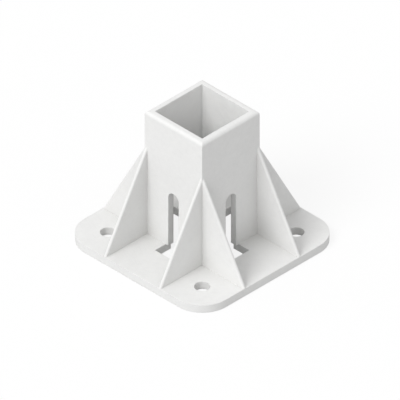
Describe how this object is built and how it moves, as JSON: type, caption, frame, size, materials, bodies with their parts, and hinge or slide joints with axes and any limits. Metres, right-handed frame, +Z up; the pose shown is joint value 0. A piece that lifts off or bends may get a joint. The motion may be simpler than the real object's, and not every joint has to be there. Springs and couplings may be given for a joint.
{
  "type": "mounting foot",
  "caption": "Mounting foot that holds a square post upright: a square socket on a drilled base plate, with triangular gussets and slotted walls.",
  "frame": {"origin": "centre of the base plate's underside, on the axis of the post socket", "axes": "+Z up the post socket, +X and +Y square to two of its walls"},
  "size_m": [0.135, 0.135, 0.106],
  "materials": {
    "foot": "fine matt moulded surface, pale grey"
  },
  "bodies": {
    "root": {"mounting_foot": "foot"}
  },
  "joints": []
}
